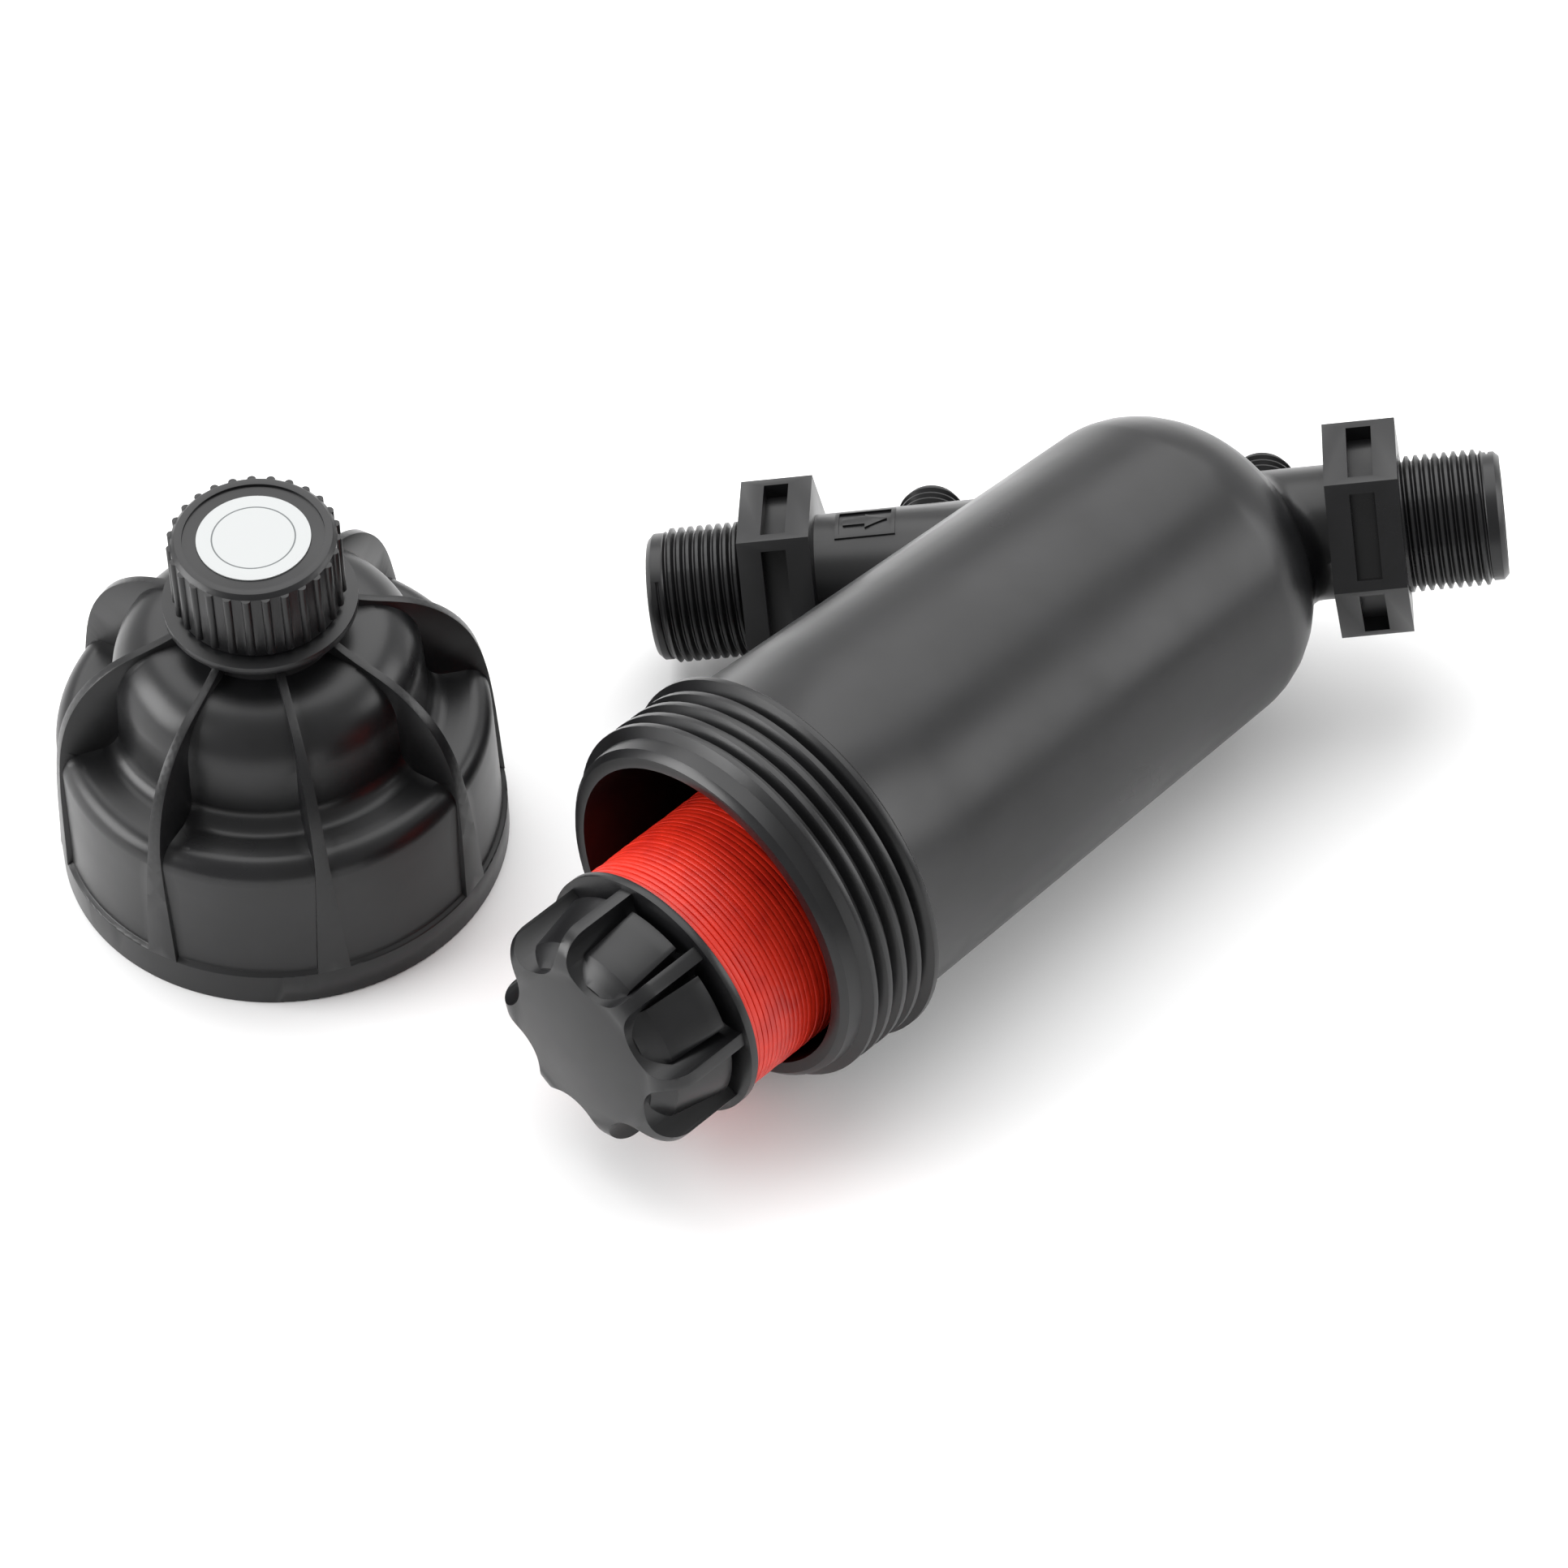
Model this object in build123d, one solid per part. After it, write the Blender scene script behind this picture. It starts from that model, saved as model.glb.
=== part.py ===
from build123d import *
import os
from math import acos, atan, atan2, cos, hypot, pi, radians, sin, sqrt

# Y-type disc filter for a 3/4 inch line, lying open with its cartridge drawn out
# and its cover standing beside it. All sizes are in millimetres.

# Pipe, along its own axis from the inlet end to the outlet end
inlet_reach = 107.4       # inlet end from the crossing of the two axes
outlet_reach = 58.1       # outlet end from the crossing of the two axes
pipe_od = 26.0
pipe_bore = 19.4
y_angle = 48.0            # between the pipe and the housing
end_thread_od = 26.3      # parallel pipe thread, drawn as a plain cylinder
end_thread_length = 15.8  # from the hexagon to the plain lead
lead_od = 24.8
lead_length = 3.4
lead_edge = 1.0
end_thread_run_out = 0.4   # of the thread's crest before the lead
lead_root = 0.3
hex_flats = 36.0
hex_length = 14.0
hex_pocket_length = 4.8   # along the pipe
hex_pocket_width = 16.6
hex_pocket_depth = 3.0

# Pressure ports on the side away from the housing
port_od = 13.1
port_root = 11.5
port_height = 20.8        # from the pipe's axis
port_bore = 7.0
port_bore_depth = 8.5
port_gap_inlet = 20.8     # from the inlet hexagon to the port's axis
port_gap_outlet = 13.2
port_pitch = 1.8
port_crests = 3
port_lead = 0.9           # plain end beyond the last crest
port_crest_share = 0.2    # of the pitch that is crest
port_foot_share = 0.8

# Raised flow mark on the pipe
mark_length = 11.8
mark_width = 8.6
mark_line = 0.8
mark_height = 0.4
mark_sunk = 0.3           # how far the mark starts inside the pipe's skin
mark_from_hex = 10.0      # from the inlet hexagon to the middle of the mark

# Housing, along its axis from the crossing towards the mouth
mouth_reach = 137.5
dome_start = 12.5         # where the straight wall begins
dome_depth = 25.0
dome_radius = 32.4
shell_mouth_radius = 35.1
bore_mouth_radius = 31.6
bore_dome_radius = 29.9
dome_wall = 3.4
stop_ring_at = 116.0
stop_ring_radius = 38.3
stop_ring_width = 1.9
stop_ring_rise = 2.0      # length of its slope from the wall
stop_ring_corner = 0.2
stop_ring_edge = 0.4
stop_ring_fall = 0.6
thread_pitch = 3.8
thread_crests = 4
thread_radius = 37.4
thread_root_radius = 35.3
thread_crest_width = 1.1
thread_foot_width = 2.9
lip_radius = 35.0
lip_edge = 1.2
blend_radius = 4.0        # between the pipe and the housing

# Seat for the cartridge, inside the dome
seat_reach = 26.3
seat_bore_radius = 12.6
seat_wall = 2.7
seat_clearance = 0.5      # between the inlet's bore and the seat's wall

# Cartridge, along its own axis from its inner end
disc_od = 48.8
disc_id = 32.0
disc_pitch = 4.6          # from one drawn seam to the next
stack_length = 111.5
edge_groove = 0.35
disc_rim_share = 0.4      # of a disc's height that is full diameter
base_plate = 3.0
spigot_length = 9.0
spigot_radius = 12.3
spigot_bore_radius = 8.6
ring_section = 2.6        # of the spigot's sealing ring
ring_at = 3.6             # its middle, from the spigot's end
ring_play = 0.05
ring_groove_share = 0.8   # of the ring's section that lies in its groove
ring_groove_play = 0.1
plate_step = 0.4          # of the base plate behind the discs' rim
core_radius = 6.0
fin_count = 6
fin_width = 2.2
fin_clearance = 0.4
base_window = 2.2         # depth of the passage from the fins to the spigot
base_window_edge = 3.0    # inside the discs' inner radius
base_window_cut = 0.2
stud_radius = 7.0
stud_length = 13.0
drawn_out = 2.0           # spigot's end beyond the seat's rim
bore_clearance = 0.35     # between the cartridge and the bore it lies in
cartridge_lean = 18.0     # round the bore from its lowest line

# End knob of the cartridge
knob_flange_od = 50.6
knob_flange = 1.6
knob_length = 19.8
knob_radius = 24.0
knob_shoulder = 6.4
knob_ribs = 8
scallop_radius = 8.0      # of the hollow between two ribs
scallop_depth_radius = 16.0
pad_radius = 22.2
pad_front_radius = 19.8
pad_width = 11.0
pad_gap = 2.0             # groove between the flange and the pads
pad_front = 1.4           # pads end this far behind the knob's front
pad_edge = 3.4
knob_phase = -2.5
seal_outer = 22.9         # sealing ring under the knob
seal_width = 5.0
seal_thickness = 1.2
seal_play = 0.2
stud_play = 0.3
knob_gap = 0.3            # between the stack and the knob
thrust_gap = 0.1          # between a turning piece and its seal
knob_lead = 3.0           # travel for one turn

# Cover, from the floor it stands on
cover_rim_wall = 5.15     # outside the thread
cover_rim_height = 7.6
cover_skirt_step = 1.0    # of the panels behind the rim
cover_skirt_taper = 0.8
cover_ledge_height = 35.5
cover_ledge_edge = 4.5
cover_ledge_fall = 0.8    # of the ledge from the drum to the skirt
cover_ledge_hollow = 4.0  # radius where the ledge meets the drum
cover_drum_radius = 28.6
cover_drum_taper = 1.2
cover_drum_edge = 11.0
cover_top_height = 59.6
cover_top_fall = 2.4      # of the top from the neck to the drum
cover_neck_radius = 14.6
cover_wall = 2.8
cover_thread_gap = 0.45
cover_thread_length = 19.0
cover_thread_start = 2.4
cover_entry = 0.8
cover_throat_step = 4.0   # inside the lip's radius
cover_inner_edge = 5.0
cover_ribs = 8
rib_phase = 14.6
rib_top_width = 1.4
rib_ledge_width = 2.7
rib_foot_width = 6.3
# outer edge of a rib, as shares of the rim's radius and the bell's height
rib_arch = ((0.36, 1.045), (0.51, 0.995), (0.65, 0.955), (0.79, 0.88), (0.89, 0.775), (0.944, 0.66),
            (0.975, 0.50), (0.99, 0.30))
neck_bore_radius = 10.0
neck_ring_radius = 18.2
neck_waist = 5.4          # from the bell's top to the ring
neck_ring = 1.6
neck_stem_radius = 12.8
neck_stem_length = 12.0   # above its ring
cover_seal_section = 3.2
cover_seal_step = 1.6     # its seat is this much narrower than the thread

# Drain cap on the cover's neck
cap_gap = 0.5             # between the neck's ring and the cap
cap_radius = 15.4
cap_ridges = 27
cap_ridge_radius = 0.85
cap_edge = 0.8
cap_roof = 2.0
cap_top_recess = 0.6
cap_top_rim = 2.2
cap_neck_gap = 0.3
gasket_gap = 0.1          # between the gasket and the neck's end
cap_gasket = 2.0
gasket_overlap = 1.0      # of the gasket inside the neck's bore
cap_lead = 3.0            # travel for one turn
label_radius = 10.6
label_thickness = 0.2

# Where the pieces lie, seen from above
housing_heading = -135.0  # direction in which the mouth points
cover_offset = (-178.3, -39.7)

seam = 0.02               # parts of one moulding run this far into each other

# Sizes that follow from the ones above
cover_rim_radius = thread_radius + cover_thread_gap + cover_rim_wall
cover_skirt_radius = cover_rim_radius - cover_skirt_step
cover_skirt_top_radius = cover_skirt_radius - cover_skirt_taper
neck_ring_height = cover_top_height + neck_waist + neck_ring
neck_top_height = neck_ring_height + neck_stem_length
cap_bottom = neck_ring_height + cap_gap
gasket_bottom = neck_top_height + gasket_gap
cap_ceiling = gasket_bottom + cap_gasket + thrust_gap
cap_top = cap_ceiling + cap_roof

os.makedirs("parts", exist_ok=True)


# Housing shape along its axis

def shell_radius(z):
    """Outer radius of the straight wall at a height along the housing."""
    share = (z - dome_start) / (stop_ring_at - dome_start)
    return dome_radius + (shell_mouth_radius - dome_radius) * share


def bore_radius(z):
    """Radius of the housing's bore at a height along the housing."""
    share = (z - dome_start) / (mouth_reach - dome_start)
    return bore_dome_radius + (bore_mouth_radius - bore_dome_radius) * share


def ring(inner, outer, bottom, height):
    """Plain ring round Z."""
    standing = (Align.CENTER, Align.CENTER, Align.MIN)
    solid = Pos(0, 0, bottom) * Cylinder(outer, height, align=standing)
    if inner > 0:
        hole = Cylinder(inner, height + 2, align=standing)
        solid -= Pos(0, 0, bottom - 1) * hole
    return solid


def torus_ring(radius, section, z):
    """Sealing ring of round section."""
    return Pos(0, 0, z) * Torus(radius, section / 2)


# Frames: the housing's own frame has Z towards the mouth and the pipe in its XZ plane

tilt_y = radians(y_angle)
pipe_ahead = (sin(tilt_y), 0, -cos(tilt_y))
pipe_plane = Plane(origin=(0, 0, 0), x_dir=(cos(tilt_y), 0, sin(tilt_y)), z_dir=pipe_ahead)
end_length = end_thread_length + lead_length
inlet_hex_outer = -(inlet_reach - end_length)
inlet_hex_inner = inlet_hex_outer + hex_length
outlet_hex_outer = outlet_reach - end_length
outlet_hex_inner = outlet_hex_outer - hex_length
hex_corner = hex_flats / 2 / cos(radians(30))


def rest_pose():
    """Direction of up in the housing's frame, and the height of its origin, as it lies."""
    slope = (stop_ring_radius - dome_radius) / (stop_ring_at + stop_ring_width / 2 - dome_start)
    tilt = atan(slope)
    turns = []
    for along in (inlet_hex_outer, inlet_hex_inner):
        for side in (-0.5, 0.5):
            corner = pipe_plane.from_local_coords((side * hex_corner, hex_flats / 2, along))
            reach = hypot(corner.X, corner.Y)
            lift = slope * (stop_ring_at + stop_ring_width / 2 - corner.Z) - stop_ring_radius
            turn = atan2(corner.Y, corner.X) - acos(lift / reach)
            turns.append((turn + pi) % (2 * pi) - pi)
    turn = max(turns)
    up = Vector(cos(tilt) * cos(turn), cos(tilt) * sin(turn), sin(tilt))
    height = stop_ring_radius * cos(tilt) - (stop_ring_at + stop_ring_width / 2) * sin(tilt)
    return up, height


def housing_plane():
    """The housing's frame, placed as it lies on the floor."""
    up, height = rest_pose()
    ahead = (Vector(0, 0, 1) - up * up.Z).normalized()
    across = up.cross(ahead)
    heading = radians(housing_heading)
    ahead_floor = Vector(cos(heading), sin(heading), 0)
    across_floor = Vector(-sin(heading), cos(heading), 0)

    def to_floor(v):
        return ahead_floor * v.dot(ahead) + across_floor * v.dot(across) + Vector(0, 0, 1) * v.dot(up)

    return Plane(origin=(0, 0, height), x_dir=to_floor(Vector(1, 0, 0)), z_dir=to_floor(Vector(0, 0, 1)))


# Filter body

def housing_shell():
    """Outside of the housing, with the mouth's thread as four rings and the stop ring."""
    apex = dome_start - dome_depth
    rise = stop_ring_at - stop_ring_rise
    fall = stop_ring_at + stop_ring_width
    points = [(dome_radius, dome_start), (shell_radius(rise), rise),
              (stop_ring_radius - stop_ring_edge, stop_ring_at - stop_ring_corner),
              (stop_ring_radius, stop_ring_at + stop_ring_corner),
              (stop_ring_radius, fall - stop_ring_fall), (thread_root_radius, fall + stop_ring_fall)]
    for k in range(thread_crests):
        middle = stop_ring_at + stop_ring_fall + thread_pitch * (k + 1)
        points += [(thread_root_radius, middle - thread_foot_width / 2),
                   (thread_radius, middle - thread_crest_width / 2),
                   (thread_radius, middle + thread_crest_width / 2),
                   (thread_root_radius, middle + thread_foot_width / 2)]
    points += [(lip_radius, mouth_reach - lip_edge), (lip_radius - lip_edge, mouth_reach), (0, mouth_reach)]
    dome = EllipticalCenterArc((0, dome_start), dome_radius, dome_depth, -90, arc_size=90)
    edges = [dome, Polyline(*points), Line((0, mouth_reach), (0, apex))]
    return revolve(make_face(Plane.XZ * (Curve() + edges)), Axis.Z)


def housing_bore():
    """Space inside the housing, down to its domed end."""
    top = mouth_reach + 1
    inner_depth = dome_depth - dome_wall
    dome = EllipticalCenterArc((0, dome_start), bore_dome_radius, inner_depth, -90, arc_size=90)
    sides = Polyline((bore_dome_radius, dome_start), (bore_radius(top), top), (0, top),
                     (0, dome_start - inner_depth))
    return revolve(make_face(Plane.XZ * (Curve() + [dome, sides])), Axis.Z)


def threaded_end():
    """Threaded spigot with its plain lead, standing on a hexagon's face."""
    lead = lead_od / 2
    top = end_length
    crest_end = end_thread_length - end_thread_run_out
    points = [(0, -1), (end_thread_od / 2, -1), (end_thread_od / 2, crest_end),
              (lead, end_thread_length + lead_root), (lead, top - lead_edge),
              (lead - lead_edge, top), (0, top)]
    return revolve(make_face(Plane.XZ * Polyline(*points, close=True)), Axis.Z)


def pipe_run():
    """Straight pipe with its two threaded ends, in the pipe's own frame."""
    run = ring(0, pipe_od / 2, inlet_hex_inner - 1, outlet_hex_inner - inlet_hex_inner + 2)
    outlet_end = Pos(0, 0, outlet_hex_outer) * threaded_end()
    inlet_end = Pos(0, 0, inlet_hex_outer) * Rot(180, 0, 0) * threaded_end()
    return run + outlet_end + inlet_end


def hex_collar(bottom):
    """Hexagon for a spanner, with a pocket in each of its faces."""
    collar = Pos(0, 0, bottom) * extrude(RegularPolygon(hex_corner, 6), hex_length)
    pocket = Box(2 * hex_pocket_depth, hex_pocket_width, hex_pocket_length)
    for k in range(6):
        turn = Rot(0, 0, 30 + 60 * k)
        collar -= turn * (Pos(hex_flats / 2, 0, bottom + hex_length / 2) * pocket)
    return collar


def pressure_port(along):
    """Threaded spigot for a gauge, closed at its root by the pipe's wall."""
    crest = port_pitch * port_crest_share / 2
    foot = port_pitch * port_foot_share / 2
    points = [(0, 0), (port_root / 2, 0)]
    top = port_height - port_lead
    for k in reversed(range(port_crests)):
        middle = top - port_pitch * (k + 0.5)
        points += [(port_root / 2, middle - foot), (port_od / 2, middle - crest),
                   (port_od / 2, middle + crest), (port_root / 2, middle + foot)]
    points += [(port_root / 2, port_height), (0, port_height)]
    spigot = revolve(make_face(Plane.XZ * Polyline(*points, close=True)), Axis.Z)
    return Pos(0, 0, along) * Rot(0, -90, 0) * spigot


def port_hole(along):
    """Blind bore in the end of a pressure port."""
    depth = port_height - port_bore_depth
    return Pos(0, 0, along) * Rot(0, -90, 0) * ring(0, port_bore / 2, depth, port_bore_depth + 1)


def flow_mark():
    """Raised frame with an arrow in the direction of flow, on the pipe."""
    inside = Rectangle(mark_length - 2 * mark_line, mark_width - 2 * mark_line)
    frame = Rectangle(mark_length, mark_width) - inside
    head = mark_width / 4
    shaft = mark_length / 2 - 2 * mark_line
    arrow = make_face(Polyline((-shaft, -head / 2), (0, -head / 2), (0, -head), (shaft, 0), (0, head),
                               (0, head / 2), (-shaft, head / 2), close=True))
    plane = Plane(origin=(0, 0, inlet_hex_inner + mark_from_hex), x_dir=(0, 0, 1), z_dir=(0, -1, 0))
    prism = extrude(plane * (frame + arrow), pipe_od)
    skin = ring(pipe_od / 2 - mark_sunk, pipe_od / 2 + mark_height, inlet_hex_inner, 4 * mark_from_hex)
    return prism & skin


def seat_and_elbow():
    """Walls of the cartridge seat and of the passage that leads from it to the outlet."""
    low = dome_start - dome_depth - 1
    tube = ring(0, seat_bore_radius + seat_wall, low, seat_reach - low)
    return tube + pipe_plane.location * ring(0, pipe_bore / 2 + seat_wall, 0, outlet_hex_inner)


def filter_body():
    """Pipe, hexagons, ports, housing and cartridge seat: one moulding."""
    to_housing = pipe_plane.location
    body = housing_shell() + to_housing * pipe_run()
    joint = [edge for edge in body.edges() if is_blend_edge(edge)]
    body = fillet(joint, blend_radius)
    for bottom in (inlet_hex_outer, outlet_hex_inner):
        body += to_housing * hex_collar(bottom)
    ports = (inlet_hex_inner + port_gap_inlet, outlet_hex_inner - port_gap_outlet)
    for along in ports:
        body += to_housing * pressure_port(along)
    body += to_housing * flow_mark()
    for along in ports:
        body -= to_housing * port_hole(along)
    body -= housing_bore() - seat_and_elbow()
    seat_floor = dome_start - dome_depth + dome_wall + 1
    body -= ring(0, seat_bore_radius, seat_floor, seat_reach)
    body -= to_housing * ring(0, pipe_bore / 2, 0, outlet_reach + 1)
    seat_outer = seat_bore_radius + seat_wall + seat_clearance
    clear_of_seat = (seat_outer + pipe_bore / 2 * cos(tilt_y)) / sin(tilt_y)
    body -= to_housing * ring(0, pipe_bore / 2, -inlet_reach - 1, inlet_reach + 1 - clear_of_seat)
    return body


def is_blend_edge(edge):
    """Tells whether an edge lies where the pipe meets the housing."""
    on_pipe = []
    for t in (0.1, 0.3, 0.5, 0.7, 0.9):
        p = pipe_plane.to_local_coords(edge.position_at(t))
        on_skin = abs(hypot(p.X, p.Y) - pipe_od / 2) < seam / 2
        on_pipe.append(on_skin and inlet_hex_inner < p.Z < outlet_hex_inner)
    return all(on_pipe) and edge.length > 1 and not is_straight(edge)


def is_straight(edge):
    return edge.geom_type == GeomType.LINE


# Cartridge, in its own frame with Z towards the knob

stack_bottom = spigot_length + base_plate
stack_top = stack_bottom + stack_length
knob_base = stack_top + knob_gap
knob_top = knob_base + knob_length
spine_start = seat_reach + drawn_out


def cartridge_plane():
    """Cartridge axis, lying along the bore's wall near its lowest line."""
    up, _ = rest_pose()
    low = atan2(-up.Y, -up.X) + radians(cartridge_lean)
    slope = (bore_mouth_radius - bore_dome_radius) / (mouth_reach - dome_start)
    radius = disc_od / 2
    drop = bore_radius(spine_start) - radius * sqrt(1 + slope ** 2) - bore_clearance
    outward = Vector(cos(low), sin(low), 0)
    axis = (Vector(0, 0, 1) + outward * slope).normalized()
    origin = Vector(0, 0, spine_start) + outward * drop
    side = Vector(-sin(low), cos(low), 0)
    return Plane(origin=origin, x_dir=outward - axis * outward.dot(axis), z_dir=axis)


def cartridge_spine():
    """Base plate, spigot with a ring groove, finned core and threaded stud."""
    groove_root = spigot_radius - ring_section * ring_groove_share
    groove_start = ring_at - ring_section / 2 - ring_groove_play
    spigot = ring(0, spigot_radius, 0, spigot_length)
    spigot -= ring(groove_root, spigot_radius + 1, groove_start, ring_section + 2 * ring_groove_play)
    plate = ring(0, disc_od / 2 - plate_step, spigot_length, base_plate)
    core = ring(0, core_radius, stack_bottom - 1, stack_length + 1)
    outward = (Align.MIN, Align.CENTER, Align.MIN)
    fin = Box(disc_id / 2 - fin_clearance, fin_width, stack_length + 1, align=outward)
    for k in range(fin_count):
        core += Pos(0, 0, stack_bottom - 1) * Rot(0, 0, 360 / fin_count * k) * fin
    stud = ring(0, stud_radius, stack_top - 1, stud_length + 1)
    spine = spigot + plate + core + stud
    spine -= ring(0, spigot_bore_radius, -1, stack_bottom - 1)
    depth = base_window + base_window_cut
    window = ring(core_radius, disc_id / 2 - base_window_edge, stack_bottom - base_window, depth)
    for k in range(fin_count):
        fin_keep = Rot(0, 0, 360 / fin_count * k) * fin
        window -= Pos(0, 0, stack_bottom - base_plate - 2) * fin_keep
    return spine - window


def spigot_ring():
    """Sealing ring in the spigot's groove."""
    root = spigot_radius - ring_section * ring_groove_share
    return torus_ring(root + ring_section / 2 + ring_play, ring_section, ring_at)


def disc_stack():
    """Pressed stack of grooved discs, with the seams between them at its rim."""
    count = round(stack_length / disc_pitch)
    step = stack_length / count
    outer = disc_od / 2
    points = [(disc_id / 2, stack_bottom), (outer - edge_groove, stack_bottom)]
    for k in range(count):
        low = stack_bottom + k * step
        half_rim = step * disc_rim_share / 2
        points += [(outer, low + step / 2 - half_rim), (outer, low + step / 2 + half_rim)]
        if k < count - 1:
            points.append((outer - edge_groove, low + step))
    points += [(outer - edge_groove, stack_top), (disc_id / 2, stack_top)]
    return revolve(make_face(Plane.XZ * Polyline(*points, close=True)), Axis.Z)


def knob_seal():
    """Flat sealing ring in the knob's underside."""
    return ring(seal_outer - seal_width + seal_play, seal_outer, knob_base, seal_thickness)


def knob_drum():
    """Solid drum with a rounded front edge."""
    side = Line((knob_radius, knob_base), (knob_radius, knob_top - knob_shoulder))
    bend = CenterArc((knob_radius - knob_shoulder, knob_top - knob_shoulder), knob_shoulder, 0, 90)
    closing = Polyline((knob_radius - knob_shoulder, knob_top), (0, knob_top), (0, knob_base),
                       (knob_radius, knob_base))
    return revolve(make_face(Plane.XZ * (Curve() + [side, bend, closing])), Axis.Z)


def knob_pads():
    """Cone that the pads are cut from: their faces fall towards the knob's front."""
    low = knob_base + knob_flange + pad_gap
    high = knob_top - pad_front
    points = [(0, low), (pad_radius, low), (pad_front_radius, high - pad_edge),
              (pad_front_radius - pad_edge, high), (0, high)]
    return revolve(make_face(Plane.XZ * Polyline(*points, close=True)), Axis.Z)


def end_knob():
    """Gripping knob: thin flange, eight ribs, and a raised pad in each pocket."""
    floor_z = knob_base + knob_flange
    centre = scallop_depth_radius + scallop_radius
    scallop = ring(0, scallop_radius, floor_z, knob_length)
    outward = (Align.MIN, Align.CENTER, Align.MIN)
    pad = Pos(0, 0, floor_z) * Box(pad_radius, pad_width, knob_length, align=outward)
    knob = knob_drum()
    pads = knob_pads()
    step = 360 / knob_ribs
    for k in range(knob_ribs):
        knob -= Rot(0, 0, step * (k + 0.5)) * Pos(centre, 0, 0) * scallop
    for k in range(knob_ribs):
        knob += pads & (Rot(0, 0, step * (k + 0.5)) * pad)
    knob += ring(0, knob_flange_od / 2, knob_base, knob_flange)
    recess = seal_thickness + thrust_gap
    knob -= ring(seal_outer - seal_width, seal_outer + seal_play, knob_base - 1, recess + 1)
    stud_room = stud_length - knob_gap + stud_play
    knob -= ring(0, stud_radius + stud_play, knob_base - 1, stud_room + 1)
    return Rot(0, 0, knob_phase) * knob


# Cover, in its own frame with Z up from the rim it stands on

def cover_outside():
    """Stepped bell between the ribs, from the rim to the neck."""
    points = [(0, 0), (cover_rim_radius, 0), (cover_rim_radius, cover_rim_height),
              (cover_skirt_radius, cover_rim_height + cover_skirt_step / 2),
              (cover_skirt_top_radius, cover_ledge_height),
              (cover_drum_radius + cover_drum_taper, cover_ledge_height + cover_ledge_fall),
              (cover_drum_radius, cover_top_height - cover_top_fall),
              (cover_neck_radius, cover_top_height), (0, cover_top_height)]
    small = cover_skirt_step / 3
    radii = [small, small, small, cover_ledge_edge, cover_ledge_hollow, cover_drum_edge, cover_skirt_step]
    outline = FilletPolyline(*points, radius=radii, close=False)
    closing = Line(points[-1], points[0])
    return revolve(make_face(Plane.XZ * (Curve() + [outline, closing])), Axis.Z)


def cover_inside():
    """Hollow of the cover with its thread grooves and the seat of its sealing ring."""
    crest = thread_root_radius + cover_thread_gap
    root = thread_radius + cover_thread_gap
    seat = cover_thread_length
    groove = seat + cover_seal_section + 2 * ring_play
    points = [(0, -1), (root + cover_entry, -1), (root + cover_entry, 0), (root, cover_entry)]
    for k in range(thread_crests):
        middle = cover_thread_start + thread_pitch * (k + 0.5)
        points += [(root, middle - thread_foot_width / 2), (crest, middle - thread_crest_width / 2),
                   (crest, middle + thread_crest_width / 2), (root, middle + thread_foot_width / 2)]
    throat = lip_radius - cover_throat_step
    drum = cover_drum_radius - cover_wall
    ledge = cover_ledge_height - cover_wall
    roof = cover_top_height - cover_wall
    seal_wall = root - cover_seal_step
    points += [(root, seat), (seal_wall, seat), (seal_wall, groove), (throat, groove), (throat, ledge),
               (drum, ledge + cover_wall), (drum, roof - cover_inner_edge),
               (drum - cover_inner_edge, roof), (0, roof)]
    return revolve(make_face(Plane.XZ * Polyline(*points, close=True)), Axis.Z)


def cover_rib():
    """One radial rib: an arched fin from the neck that widens to a strip at the rim."""
    arch = [(cover_rim_radius * r, cover_top_height * z) for r, z in rib_arch]
    foot = (cover_rim_radius, cover_rim_height - seam)
    inner_radius = cover_neck_radius - cover_skirt_step
    under = cover_top_height - cover_wall / 2
    closing = Polyline(foot, (cover_skirt_top_radius - cover_wall / 2, foot[1]),
                       (cover_drum_radius - cover_wall / 2, cover_ledge_height - cover_wall / 2),
                       (cover_drum_radius - cover_wall / 2, cover_ledge_height + cover_ledge_edge),
                       (inner_radius, under), (inner_radius, arch[0][1]), arch[0])
    side = make_face(Plane.XZ * (Curve() + [Spline(*arch, foot), closing]))
    fin = extrude(side, rib_foot_width / 2, both=True)
    half = [(rib_foot_width / 2, foot[1] - cover_skirt_step), (rib_foot_width / 2, cover_rim_height),
            (rib_ledge_width / 2, cover_ledge_height), (rib_top_width / 2, arch[0][1] + cover_skirt_step)]
    front = half + [(-w, z) for w, z in reversed(half)]
    wedge = extrude(Plane.YZ * make_face(Polyline(*front, close=True)), cover_rim_radius + 1)
    return fin & wedge


def cover_neck():
    """Stem for the drain cap, with its ring."""
    foot = cover_top_height - cover_wall / 2
    stem = ring(0, neck_stem_radius, foot, neck_top_height - foot)
    collar = ring(0, neck_ring_radius, neck_ring_height - neck_ring, neck_ring)
    waist = ring(0, cover_neck_radius, foot, neck_ring_height - neck_ring - foot + seam)
    return stem + collar + waist


def cover():
    """Screw-on cover: stepped bell, eight ribs, neck and thread, as one moulding."""
    shell = cover_outside() + cover_neck()
    rib = cover_rib()
    for k in range(cover_ribs):
        shell += Rot(0, 0, 360 / cover_ribs * k + rib_phase - 90) * rib
    shell -= cover_inside()
    return shell - ring(0, neck_bore_radius, cover_ledge_height, neck_top_height)


def cover_seal():
    """Sealing ring at the end of the cover's thread."""
    wall = thread_radius + cover_thread_gap - cover_seal_step
    middle = cover_thread_length + cover_seal_section / 2 + ring_play
    return torus_ring(wall - cover_seal_section / 2 - ring_play, cover_seal_section, middle)


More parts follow.
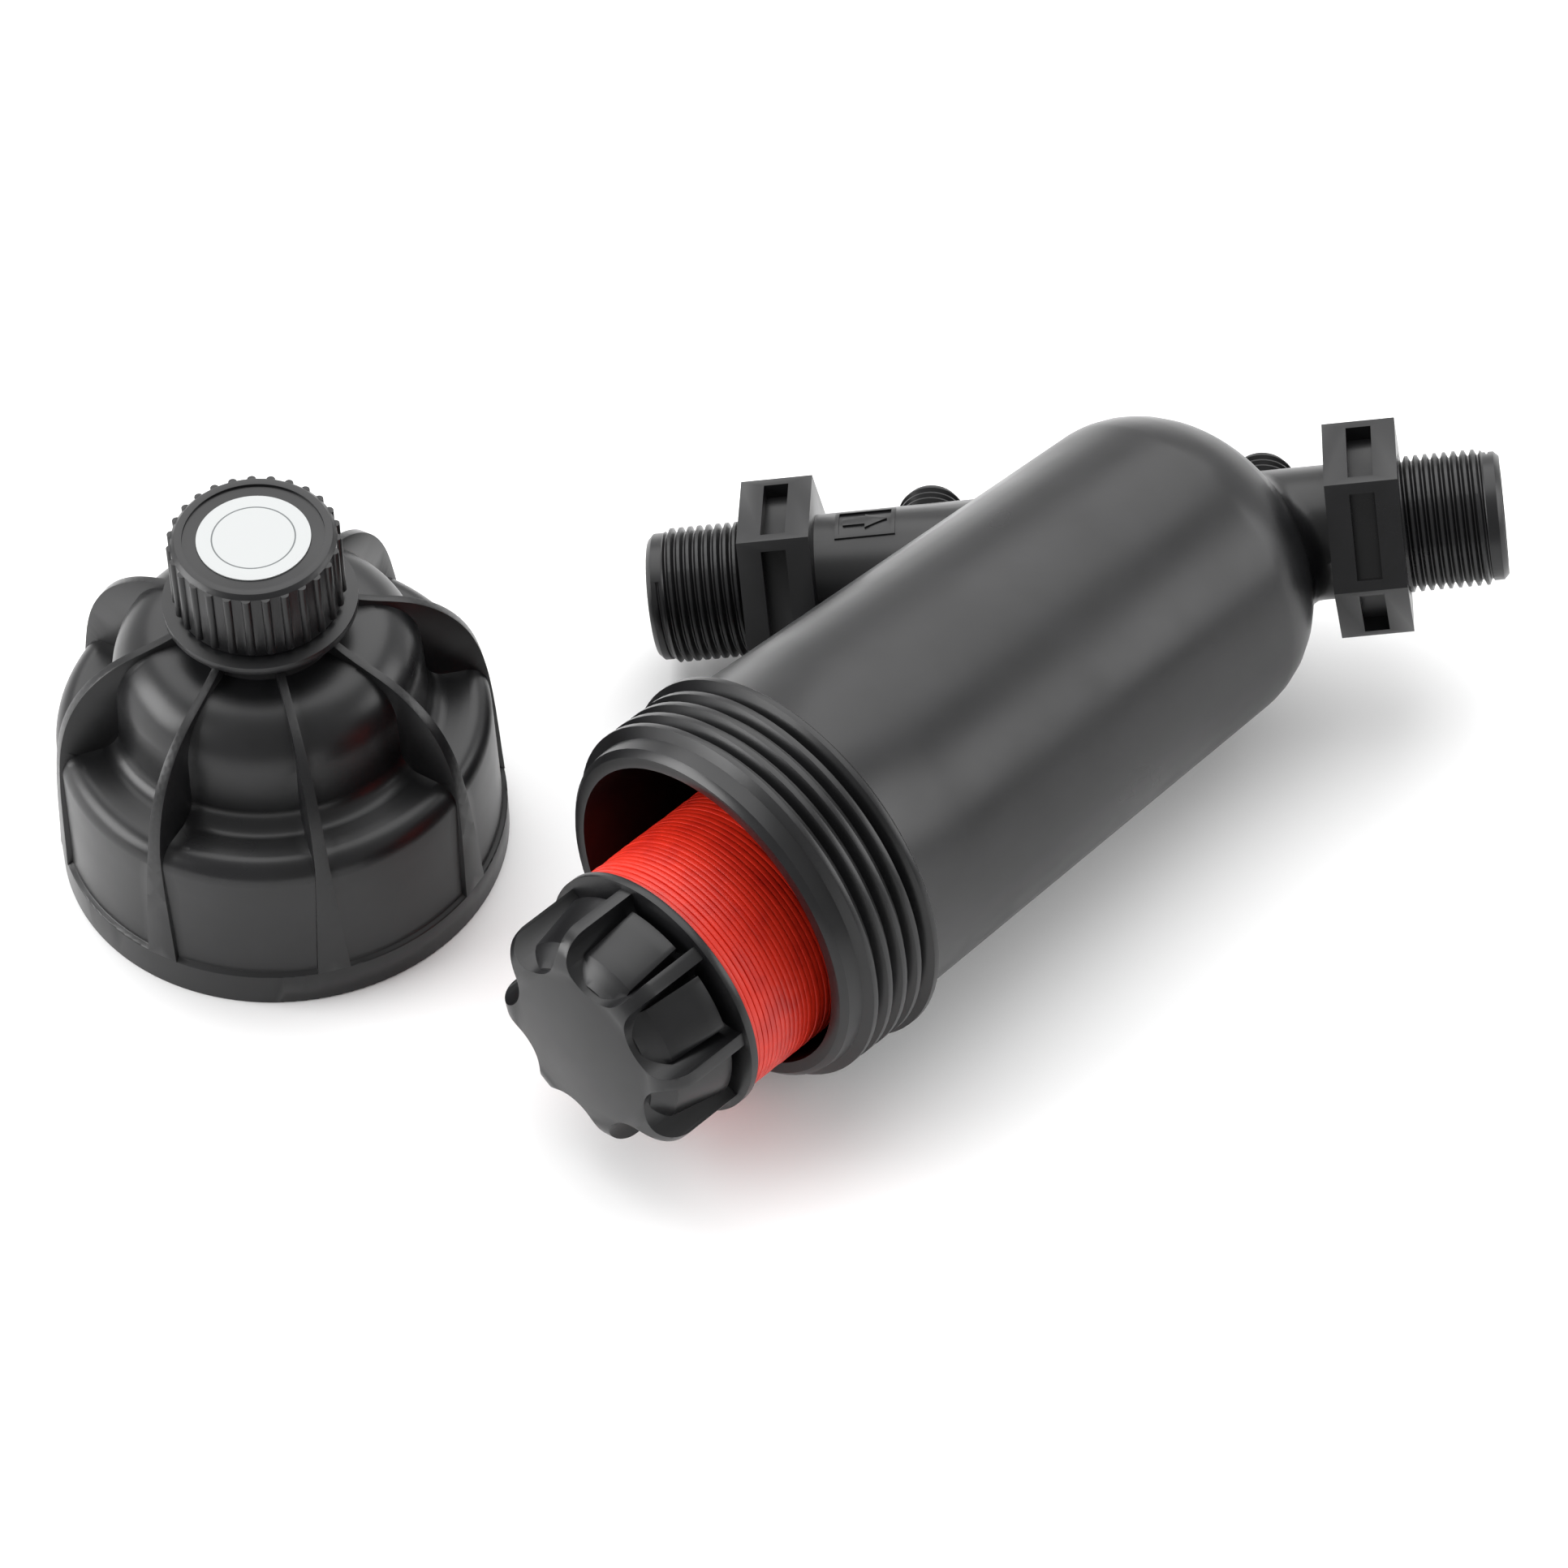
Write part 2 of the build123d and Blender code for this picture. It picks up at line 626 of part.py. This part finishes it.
def drain_cap():
    """Screw cap with rounded grip ridges and a slightly recessed top."""
    cap = ring(0, cap_radius, cap_bottom, cap_top - cap_bottom)
    cap = chamfer(cap.edges().filter_by(GeomType.CIRCLE).sort_by(Axis.Z)[-1], cap_edge)
    ridge = ring(0, cap_ridge_radius, cap_bottom + cap_edge, cap_top - cap_bottom - 2 * cap_edge)
    for k in range(cap_ridges):
        cap += Rot(0, 0, 360 / cap_ridges * k) * Pos(cap_radius - cap_edge / 8, 0, 0) * ridge
    cap -= ring(0, cap_radius - cap_top_rim, cap_top - cap_top_recess, cap_top_recess + 1)
    return cap - ring(0, neck_stem_radius + cap_neck_gap, cap_bottom - 1, cap_ceiling - cap_bottom + 1)


def cap_gasket_ring():
    """Flat gasket between the cap and the neck's end."""
    return ring(neck_bore_radius - gasket_overlap, neck_stem_radius, gasket_bottom, cap_gasket)


def cap_label():
    """Round paper label on the cap."""
    return ring(0, label_radius, cap_top - cap_top_recess, label_thickness)


def assemble():
    """Every piece by its name, placed about the middle of the floor under the object."""
    housing = housing_plane()
    cartridge = housing.location * cartridge_plane().location
    cover_at = Pos(cover_offset[0], cover_offset[1], 0)
    pieces = {"filter_body": housing.location * filter_body()}
    for name, make in (("cartridge_spine", cartridge_spine), ("spigot_ring", spigot_ring),
                       ("disc_stack", disc_stack), ("knob_seal", knob_seal), ("end_knob", end_knob)):
        pieces[name] = cartridge * make()
    for name, make in (("cover", cover), ("cover_seal", cover_seal), ("drain_cap", drain_cap),
                       ("drain_gasket", cap_gasket_ring), ("cap_label", cap_label)):
        pieces[name] = cover_at * make()
    return pieces


def floor_centre(pieces):
    """Middle of the floor area that the pieces cover."""
    boxes = [piece.bounding_box() for piece in pieces.values()]
    mid_x = (min(b.min.X for b in boxes) + max(b.max.X for b in boxes)) / 2
    mid_y = (min(b.min.Y for b in boxes) + max(b.max.Y for b in boxes)) / 2
    return mid_x, mid_y


def main():
    pieces = assemble()
    mid_x, mid_y = floor_centre(pieces)
    for name, piece in pieces.items():
        export_step(Pos(-mid_x, -mid_y, 0) * piece, f"parts/{name}.step")


if __name__ == "__main__":
    main()
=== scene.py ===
import bmesh
import bpy
import random
from math import cos, radians, sin, tau
from mathutils import Matrix, Vector


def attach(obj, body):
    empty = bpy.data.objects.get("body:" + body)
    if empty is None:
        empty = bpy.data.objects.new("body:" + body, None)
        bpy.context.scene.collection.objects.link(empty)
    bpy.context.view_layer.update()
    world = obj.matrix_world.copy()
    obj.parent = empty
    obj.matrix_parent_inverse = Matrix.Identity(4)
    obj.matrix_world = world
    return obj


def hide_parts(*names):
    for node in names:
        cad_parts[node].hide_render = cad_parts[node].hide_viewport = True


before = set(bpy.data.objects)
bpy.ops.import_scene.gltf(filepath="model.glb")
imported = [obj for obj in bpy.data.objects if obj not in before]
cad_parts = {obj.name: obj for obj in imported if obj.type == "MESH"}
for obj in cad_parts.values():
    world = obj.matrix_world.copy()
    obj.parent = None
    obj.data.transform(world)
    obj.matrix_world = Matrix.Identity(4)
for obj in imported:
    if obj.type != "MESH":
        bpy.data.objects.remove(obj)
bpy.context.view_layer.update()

mm = 0.001
print("frame loaded:", len(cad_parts), "nodes")

# where the axes lie, in the frame's own metres
placing = {
    "crossing": (0.081087, 0.056877, 0.031643),     # the pipe's axis meets the housing's
    "pipeAxis": (0.9900416, -0.0312749, 0.1372574),
    "cartridgeBase": (0.062076, 0.035523, 0.028147),    # the spigot's end
    "cartridgeAxis": (-0.7034604, -0.7094033, 0.0434787),
    "coverCentre": (-0.0972131, 0.0171773, 0.0),    # on the floor, where the rim stands
}


def axisMatrix(origin, axis, across=(0, 0, 1)):
    zDir = Vector(axis).normalized()
    xDir = (Vector(across) - zDir * zDir.dot(Vector(across))).normalized()
    yDir = zDir.cross(xDir)
    turn = Matrix((xDir, yDir, zDir)).transposed().to_4x4()
    return Matrix.Translation(Vector(origin)) @ turn


pipeFrame = axisMatrix(placing["crossing"], placing["pipeAxis"])
cartridgeFrame = axisMatrix(placing["cartridgeBase"], placing["cartridgeAxis"])
coverFrame = axisMatrix(placing["coverCentre"], (0, 0, 1), (1, 0, 0))


# colours and nodes
def linear(hexColour):
    values = [int(hexColour[k:k + 2], 16) / 255 for k in (0, 2, 4)]
    return tuple(v / 12.92 if v <= 0.04045 else ((v + 0.055) / 1.055) ** 2.4 for v in values) + (1.0,)


def addNode(tree, kind, settings=None, links=None):
    node = tree.nodes.new(kind)
    for key, value in (settings or {}).items():
        if isinstance(key, str) and hasattr(node, key):
            setattr(node, key, value)
        else:
            node.inputs[key].default_value = value
    for key, source in (links or {}).items():
        tree.links.new(source, node.inputs[key])
    return node


def emptyMaterial(name):
    material = bpy.data.materials.new(name)
    material.use_nodes = True
    material.node_tree.nodes.clear()
    return material, material.node_tree


def finishMaterial(tree, shader):
    addNode(tree, "ShaderNodeOutputMaterial", links={"Surface": shader.outputs["BSDF"]})


def setRamp(ramp, lowAt, lowColour, highAt, highColour):
    low, high = ramp.color_ramp.elements
    low.position, low.color = lowAt, linear(lowColour)
    high.position, high.color = highAt, linear(highColour)


# glass-filled polypropylene, injection moulded: a dull black skin with a faint grain,
# a little uneven in gloss where the melt met the steel
blackPolypropylene = {
    "base": "0f0f10",
    "worn": "171719",
    "wornFrom": 0.35,       # where in the clouds the tone starts to lift, and where it ends
    "wornTo": 0.85,
    "ior": 1.49,
    "roughness": (0.27, 0.38),
    "glossRange": (0.3, 0.7),   # of the patch noise, spread over the roughness
    "sheen": 0.4,           # 0.5 is the usual reflection, and the fine grain takes a little
    "grainSize": 0.35,      # mm, drawn a little coarser than the real skin so that it shows
    "grainDepth": 0.006,    # mm
    "grainStrength": 0.5,
    "grainDetail": 2.0,
    "patchSize": 26.0,      # mm, slow change of gloss over the wall
    "patchDetail": 3.0,
    "fibreSize": 9.0,       # mm, glass fibres near the skin leave faint clouds
    "fibreDetail": 6.0,
    "fibreRoughness": 0.65,
}


def makeBlackPolypropylene():
    s = blackPolypropylene
    material, tree = emptyMaterial("glassFilledPolypropyleneBlack")
    where = addNode(tree, "ShaderNodeTexCoord")
    patch = addNode(tree, "ShaderNodeTexNoise",
                    {"Scale": 1 / (s["patchSize"] * mm), "Detail": s["patchDetail"]},
                    {"Vector": where.outputs["Object"]})
    fibre = addNode(tree, "ShaderNodeTexNoise",
                    {"Scale": 1 / (s["fibreSize"] * mm), "Detail": s["fibreDetail"],
                     "Roughness": s["fibreRoughness"]},
                    {"Vector": where.outputs["Object"]})
    grain = addNode(tree, "ShaderNodeTexNoise",
                    {"Scale": 1 / (s["grainSize"] * mm), "Detail": s["grainDetail"]},
                    {"Vector": where.outputs["Object"]})
    gloss = addNode(tree, "ShaderNodeMapRange",
                    {"From Min": s["glossRange"][0], "From Max": s["glossRange"][1],
                     "To Min": s["roughness"][0], "To Max": s["roughness"][1]},
                    {"Value": patch.outputs["Fac"]})
    tone = addNode(tree, "ShaderNodeValToRGB", links={"Fac": fibre.outputs["Fac"]})
    setRamp(tone, s["wornFrom"], s["base"], s["wornTo"], s["worn"])
    skin = addNode(tree, "ShaderNodeBump",
                   {"Strength": s["grainStrength"], "Distance": s["grainDepth"] * mm},
                   {"Height": grain.outputs["Fac"]})
    shader = addNode(tree, "ShaderNodeBsdfPrincipled",
                     {"IOR": s["ior"], "Specular IOR Level": s["sheen"]},
                     {"Base Color": tone.outputs["Color"], "Roughness": gloss.outputs["Result"],
                      "Normal": skin.outputs["Normal"]})
    finishMaterial(tree, shader)
    return material


# polypropylene coloured red, moulded as thin discs and pressed together: clean strong red,
# soft highlight, a little light passes through the thin rims
redPolypropylene = {
    "base": "d62711",
    "deep": "c01c0d",
    "deepTo": 0.3,          # up to where in the streaks the tone is deep, and from where it is clear
    "baseFrom": 0.55,
    "ior": 1.49,
    "roughness": 0.42,
    "glow": 0.05,           # share of light that enters the rims
    "glowReach": (0.0015, 0.0004, 0.0003),      # metres, red goes deepest
    "streakSize": 6.0,      # mm, slow change of tone from moulding to moulding
    "streakDetail": 4.0,
}


def makeRedPolypropylene():
    s = redPolypropylene
    material, tree = emptyMaterial("polypropyleneRed")
    where = addNode(tree, "ShaderNodeTexCoord")
    streak = addNode(tree, "ShaderNodeTexNoise",
                     {"Scale": 1 / (s["streakSize"] * mm), "Detail": s["streakDetail"]},
                     {"Vector": where.outputs["Object"]})
    tone = addNode(tree, "ShaderNodeValToRGB", links={"Fac": streak.outputs["Fac"]})
    setRamp(tone, s["deepTo"], s["deep"], s["baseFrom"], s["base"])
    shader = addNode(tree, "ShaderNodeBsdfPrincipled",
                     {"IOR": s["ior"], "Roughness": s["roughness"], "Subsurface Weight": s["glow"],
                      "Subsurface Radius": s["glowReach"], "Subsurface Scale": 1.0},
                     {"Base Color": tone.outputs["Color"]})
    finishMaterial(tree, shader)
    return material


# nitrile rubber, moulded rings: deep black and matt, with a faint bloom
nitrileRubber = {
    "base": "151515",
    "bloom": "262626",
    "bloomSize": 4.0,       # mm
    "bloomDetail": 4.0,
    "ior": 1.52,
    "roughness": 0.62,
}


def makeNitrileRubber():
    s = nitrileRubber
    material, tree = emptyMaterial("nitrileRubber")
    where = addNode(tree, "ShaderNodeTexCoord")
    bloom = addNode(tree, "ShaderNodeTexNoise",
                    {"Scale": 1 / (s["bloomSize"] * mm), "Detail": s["bloomDetail"]},
                    {"Vector": where.outputs["Object"]})
    tone = addNode(tree, "ShaderNodeMix", {"data_type": "RGBA"}, {0: bloom.outputs["Fac"]})
    tone.inputs[6].default_value = linear(s["base"])
    tone.inputs[7].default_value = linear(s["bloom"])
    shader = addNode(tree, "ShaderNodeBsdfPrincipled", {"IOR": s["ior"], "Roughness": s["roughness"]},
                     {"Base Color": tone.outputs[2]})
    finishMaterial(tree, shader)
    return material


# white vinyl film, die cut: even white with one thin printed ring, and a smooth low gloss
labelFilm = {
    "base": "abadad",
    "line": "565a5b",
    "lineRadius": 7.7,      # mm
    "lineWidth": 0.3,
    "ior": 1.52,
    "roughness": 0.34,
}


def makeLabelFilm():
    s = labelFilm
    material, tree = emptyMaterial("vinylFilmWhite")
    where = addNode(tree, "ShaderNodeTexCoord")
    flat = addNode(tree, "ShaderNodeVectorMath", {"operation": "SUBTRACT", 1: placing["coverCentre"]},
                   {0: where.outputs["Object"]})
    parts = addNode(tree, "ShaderNodeSeparateXYZ", links={"Vector": flat.outputs["Vector"]})
    level = addNode(tree, "ShaderNodeCombineXYZ", links={"X": parts.outputs["X"], "Y": parts.outputs["Y"]})
    radius = addNode(tree, "ShaderNodeVectorMath", {"operation": "LENGTH"}, {0: level.outputs["Vector"]})
    ring = addNode(tree, "ShaderNodeMath",
                   {"operation": "COMPARE", 1: s["lineRadius"] * mm, 2: s["lineWidth"] * mm / 2},
                   {0: radius.outputs["Value"]})
    tone = addNode(tree, "ShaderNodeMix", {"data_type": "RGBA"}, {0: ring.outputs["Value"]})
    tone.inputs[6].default_value = linear(s["base"])
    tone.inputs[7].default_value = linear(s["line"])
    shader = addNode(tree, "ShaderNodeBsdfPrincipled", {"IOR": s["ior"], "Roughness": s["roughness"]},
                     {"Base Color": tone.outputs[2]})
    finishMaterial(tree, shader)
    return material


materials = {
    "black_plastic": makeBlackPolypropylene(),
    "red_plastic": makeRedPolypropylene(),
    "seal_rubber": makeNitrileRubber(),
    "label_paper": makeLabelFilm(),
}
print("materials made:", len(materials))


# mesh helpers
def newPiece(name, mesh, material, body):
    piece = bpy.data.objects.new(name, mesh)
    bpy.context.scene.collection.objects.link(piece)
    mesh.materials.clear()
    mesh.materials.append(material)
    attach(piece, body)
    return piece


def smoothGroup(angle):
    # shades smooth and keeps the edges sharper than the angle
    group = bpy.data.node_groups.new("smoothBelowAngle", "GeometryNodeTree")
    group.interface.new_socket("Geometry", in_out="INPUT", socket_type="NodeSocketGeometry")
    group.interface.new_socket("Geometry", in_out="OUTPUT", socket_type="NodeSocketGeometry")
    start = addNode(group, "NodeGroupInput")
    bend = addNode(group, "GeometryNodeInputMeshEdgeAngle")
    sharp = addNode(group, "FunctionNodeCompare",
                    {"data_type": "FLOAT", "operation": "GREATER_THAN", "B": angle},
                    {"A": bend.outputs["Unsigned Angle"]})
    faces = addNode(group, "GeometryNodeSetShadeSmooth", {"domain": "FACE"}, {"Geometry": start.outputs[0]})
    edges = addNode(group, "GeometryNodeSetShadeSmooth", {"domain": "EDGE", "Shade Smooth": False},
                    {"Geometry": faces.outputs[0], "Selection": sharp.outputs[0]})
    addNode(group, "NodeGroupOutput", links={0: edges.outputs[0]})
    return group


# moulded corners are never quite sharp
softEdge = {
    "segments": 2,
    "angle": 32.0,          # degrees, only corners sharper than this are rounded
    "smoothAngle": 28.0,    # and below this a surface shades smooth
    "seam": 0.002,          # mm, points nearer than this are one
}
smoothAll = smoothGroup(radians(softEdge["smoothAngle"]))


def joinSeams(piece):
    weld = piece.modifiers.new("joinSeams", "WELD")
    weld.merge_threshold = softEdge["seam"] * mm


def shadeSmooth(piece):
    smooth = piece.modifiers.new("smoothShading", "NODES")
    smooth.node_group = smoothAll


def soften(piece, width):
    joinSeams(piece)
    if width > 0:
        bevel = piece.modifiers.new("mouldRadius", "BEVEL")
        bevel.width = width * mm
        bevel.segments = softEdge["segments"]
        bevel.limit_method = "ANGLE"
        bevel.angle_limit = radians(softEdge["angle"])
        bevel.use_clamp_overlap = True
        bevel.harden_normals = False
    shadeSmooth(piece)


# disc stack: thin grooved discs pressed together, each a hair out of line with the next
discStack = {
    "bottom": 12.0,        # mm from the spigot's end
    "length": 111.5,
    "discs": 97,
    "radius": 24.4,
    "innerRadius": 16.0,
    "rimRadius": 0.15,     # rounding of each disc's rim, drawn with one point between
    "rimBack": 0.25,       # shares of the radius by which that point lies back and in
    "rimIn": 0.35,
    "rimPlay": 0.12,       # discs differ in size by up to this much
    "grooveDepth": 0.6,    # the discs touch this far below their rims
    "gapLow": 0.01,
    "gapHigh": 0.10,
    "wideGap": 0.12,       # some gaps are wider by this much
    "wideShare": 0.15,
    "slip": 0.08,          # discs lie off the axis by up to this much
    "steps": 120,
    "seed": 7,
}


def discRings():
    # radius, height and sideways shift of every ring of the stack, in mm
    s = discStack
    chance = random.Random(s["seed"])
    pitch = s["length"] / s["discs"]
    rim = s["rimRadius"]
    rings = [(s["innerRadius"], s["bottom"], 0.0, 0.0)]
    for k in range(s["discs"]):
        low = s["bottom"] + k * pitch
        gap = chance.uniform(s["gapLow"], s["gapHigh"])
        if chance.random() < s["wideShare"]:
            gap += s["wideGap"]
        high = low + pitch - gap
        outer = s["radius"] - chance.uniform(0, s["rimPlay"])
        turn = chance.uniform(0, tau)
        slip = chance.uniform(0, s["slip"])
        shiftX, shiftY = slip * cos(turn), slip * sin(turn)
        for radius, height in (
            (outer - rim, low),
            (outer - rim * s["rimBack"], low + rim * s["rimIn"]),
            (outer, low + rim),
            (outer, high - rim),
            (outer - rim * s["rimBack"], high - rim * s["rimIn"]),
            (outer - rim, high),
        ):
            rings.append((radius, height, shiftX, shiftY))
        if k < s["discs"] - 1:
            rings.append((outer - s["grooveDepth"], high + gap / 2, 0.0, 0.0))
    rings.append((s["innerRadius"], s["bottom"] + s["length"], 0.0, 0.0))
    return rings


def makeDiscStack():
    steps = discStack["steps"]
    mesh = bpy.data.meshes.new("discStackMesh")
    shape = bmesh.new()
    rings = []
    for radius, height, shiftX, shiftY in discRings():
        ring = []
        for j in range(steps):
            a = tau * j / steps
            x, y = radius * cos(a) + shiftX, radius * sin(a) + shiftY
            ring.append(shape.verts.new((x * mm, y * mm, height * mm)))
        rings.append(ring)
    for below, above in zip(rings, rings[1:] + rings[:1]):
        for j in range(steps):
            n = (j + 1) % steps
            shape.faces.new((below[j], below[n], above[n], above[j]))
    bmesh.ops.recalc_face_normals(shape, faces=shape.faces)
    shape.transform(cartridgeFrame)
    shape.to_mesh(mesh)
    shape.free()
    piece = newPiece("discStack", mesh, materials["red_plastic"], "cartridge")
    shadeSmooth(piece)
    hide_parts("disc_stack")


makeDiscStack()
print("disc stack made")


# pipe threads: parallel thread of 14 turns to the inch, cut into the plain ends
pipeThread = {
    "pitch": 1.814,
    "root": 12.02,
    "outside": 13.7,       # the cutter starts just off the plain surface
    "mouthShare": 0.485,   # half the groove's width at its mouth, as a share of the pitch
    "footShare": 0.07,     # and at its foot
    "ends": ((-88.2, -1), (38.9, 1)),   # hexagon faces and the way each end points
    "length": 16.2,
}

# thread of the cover's neck, which the drain cap runs on: seen when the cap is unscrewed
neckThread = {
    "pitch": 3.0,
    "root": 11.9,
    "outside": 13.4,
    "mouthShare": 0.36,
    "footShare": 0.13,
    "start": 69.6,         # mm above the rim
    "length": 9.0,
}

# thread of the stud, which the end knob runs on
studThread = {
    "pitch": 3.0,
    "root": 6.2,
    "outside": 7.6,
    "mouthShare": 0.36,
    "footShare": 0.13,
    "start": 126.5,        # mm from the spigot's end
    "length": 10.0,
}

# how a groove is cut: points to a turn, and how it runs in
threadCut = {
    "steps": 72,
    "early": 0.55,         # turns by which it begins before the thread
    "runIn": 0.6,          # turns over which it reaches its full depth
    "firstDepth": 0.3,     # mm below the cutter's outside where it begins
    "spare": 1.0,          # turns added, so that it runs out past the end
}


def threadCutter(name, thread, place, body, start, way):
    s = threadCut
    pitch, outside = thread["pitch"], thread["outside"]
    total = int((thread["length"] / pitch + s["spare"]) * s["steps"])
    half = pitch * thread["mouthShare"]
    foot = pitch * thread["footShare"]
    first = outside - s["firstDepth"]
    shape = bmesh.new()
    rings = []
    for k in range(total + 1):
        turns = k / s["steps"]
        a = tau * turns * way
        along = start + way * pitch * (turns - s["early"])
        root = first - (first - thread["root"]) * min(1.0, turns / s["runIn"])
        corners = [(outside, -half), (root, -foot), (root, foot), (outside, half)]
        points = [(r * cos(a) * mm, r * sin(a) * mm, (along + z) * mm) for r, z in corners]
        rings.append([shape.verts.new(point) for point in points])
    for one, two in zip(rings, rings[1:]):
        for j in range(len(one)):
            n = (j + 1) % len(one)
            shape.faces.new((one[j], one[n], two[n], two[j]))
    shape.faces.new(rings[0])
    shape.faces.new(list(reversed(rings[-1])))
    bmesh.ops.recalc_face_normals(shape, faces=shape.faces)
    shape.transform(place)
    mesh = bpy.data.meshes.new(name)
    shape.to_mesh(mesh)
    shape.free()
    cutter = bpy.data.objects.new(name, mesh)
    bpy.context.scene.collection.objects.link(cutter)
    cutter.hide_render = True
    cutter.display_type = "WIRE"
    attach(cutter, body)
    return cutter


def cutWith(piece, cutter):
    cut = piece.modifiers.new(cutter.name, "BOOLEAN")
    cut.operation = "DIFFERENCE"
    cut.object = cutter
    cut.solver = "EXACT"


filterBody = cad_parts["filter_body"]
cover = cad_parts["cover"]
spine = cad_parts["cartridge_spine"]
for piece in (filterBody, cover, spine):
    joinSeams(piece)
for number, (start, way) in enumerate(pipeThread["ends"]):
    cutter = threadCutter(f"threadCutter{number}", pipeThread, pipeFrame, "housing", start, way)
    cutWith(filterBody, cutter)
cutWith(cover, threadCutter("neckCutter", neckThread, coverFrame, "housing", neckThread["start"], 1))
cutWith(spine, threadCutter("studCutter", studThread, cartridgeFrame, "cartridge", studThread["start"], 1))
print("threads cut: pipe ends, neck and stud")

# the nodes that keep their own shape: finish, and width of their soft edges in mm
keptNodes = {
    "filter_body": ("black_plastic", 0.3),
    "cover": ("black_plastic", 0.3),
    "cover_seal": ("seal_rubber", 0),
    "cartridge_spine": ("black_plastic", 0.2),
    "spigot_ring": ("seal_rubber", 0),
    "knob_seal": ("seal_rubber", 0.1),
    "end_knob": ("black_plastic", 0.45),
    "drain_gasket": ("seal_rubber", 0.1),
    "drain_cap": ("black_plastic", 0.15),
    "cap_label": ("label_paper", 0),
}
for name, (slotName, width) in keptNodes.items():
    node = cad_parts[name]
    node.data.materials.clear()
    node.data.materials.append(materials[slotName])
    soften(node, width)
print("kept nodes finished:", len(keptNodes))


# studio: white sweep, one large soft light above and behind, two side fills
studio = {
    "floorSize": 6.0,       # metres
    "floor": "f7f7f7",
    "floorRoughness": 0.7,
    "world": "ffffff",
    "worldAhead": (-0.55, 0.52),    # how far towards the camera, and the surround's strength there
    "worldBehind": (0.35, 1.05),    # the same beyond the object
    "lights": (
        # name, place, target, size in metres, power in watts
        ("topSoftbox", (0.0, 0.9, 1.5), (0.0, 0.0, 0.02), (2.4, 2.0), 33.0),
        ("leftFill", (-1.1, -0.1, 0.5), (0.0, 0.0, 0.03), (0.8, 0.6), 12.0),
        ("rightFill", (1.1, 0.1, 0.5), (0.0, 0.0, 0.03), (0.8, 0.6), 5.0),
    ),
}


def makeStudio():
    s = studio
    mesh = bpy.data.meshes.new("floorMesh")
    half = s["floorSize"] / 2
    corners = [(-half, -half, 0), (half, -half, 0), (half, half, 0), (-half, half, 0)]
    mesh.from_pydata(corners, [], [(0, 1, 2, 3)])
    floor = bpy.data.objects.new("floor", mesh)
    bpy.context.scene.collection.objects.link(floor)
    material, tree = emptyMaterial("paperSweepWhite")
    shader = addNode(tree, "ShaderNodeBsdfPrincipled",
                     {"Base Color": linear(s["floor"]), "Roughness": s["floorRoughness"]})
    finishMaterial(tree, shader)
    mesh.materials.append(material)
    world = bpy.data.worlds.new("studioWorld")
    bpy.context.scene.world = world
    world.use_nodes = True
    air = world.node_tree
    sky = air.nodes["Background"]
    sky.inputs["Color"].default_value = linear(s["world"])
    where = addNode(air, "ShaderNodeTexCoord")
    parts = addNode(air, "ShaderNodeSeparateXYZ", links={"Vector": where.outputs["Generated"]})
    fade = addNode(air, "ShaderNodeMapRange",
                   {"From Min": s["worldAhead"][0], "From Max": s["worldBehind"][0],
                    "To Min": s["worldAhead"][1], "To Max": s["worldBehind"][1]},
                   {"Value": parts.outputs["Y"]})
    air.links.new(fade.outputs["Result"], sky.inputs["Strength"])
    for name, place, target, size, power in s["lights"]:
        data = bpy.data.lights.new(name, "AREA")
        data.shape = "RECTANGLE"
        data.size, data.size_y = size
        data.energy = power
        lamp = bpy.data.objects.new(name, data)
        lamp.location = place
        lamp.rotation_euler = (Vector(target) - Vector(place)).to_track_quat("-Z", "Y").to_euler()
        bpy.context.scene.collection.objects.link(lamp)


makeStudio()

# camera: long lens, 49 degrees above the floor, fitted to the photograph
cameraView = {
    "lens": 149.07,         # mm, on the sensor's width
    "sensor": 36.0,
    "clip": (0.05, 20.0),   # metres
    "fromCrossing": (-0.08218, -0.85760, 0.91746),
    "right": (0.99967, -0.01948, -0.01696),
    "up": (0.02583, 0.75391, 0.65647),
    "back": (0.0, -0.65669, 0.75416),
}


def makeCamera():
    s = cameraView
    data = bpy.data.cameras.new("photoCamera")
    data.lens = s["lens"]
    data.sensor_width = s["sensor"]
    data.clip_start, data.clip_end = s["clip"]
    camera = bpy.data.objects.new("photoCamera", data)
    turn = Matrix((Vector(s["right"]), Vector(s["up"]), Vector(s["back"]))).transposed().to_4x4()
    place = Vector(placing["crossing"]) + Vector(s["fromCrossing"])
    camera.matrix_world = Matrix.Translation(place) @ turn
    bpy.context.scene.collection.objects.link(camera)
    bpy.context.scene.camera = camera


makeCamera()
bpy.context.scene.view_settings.view_transform = "Standard"
print("studio and camera set")
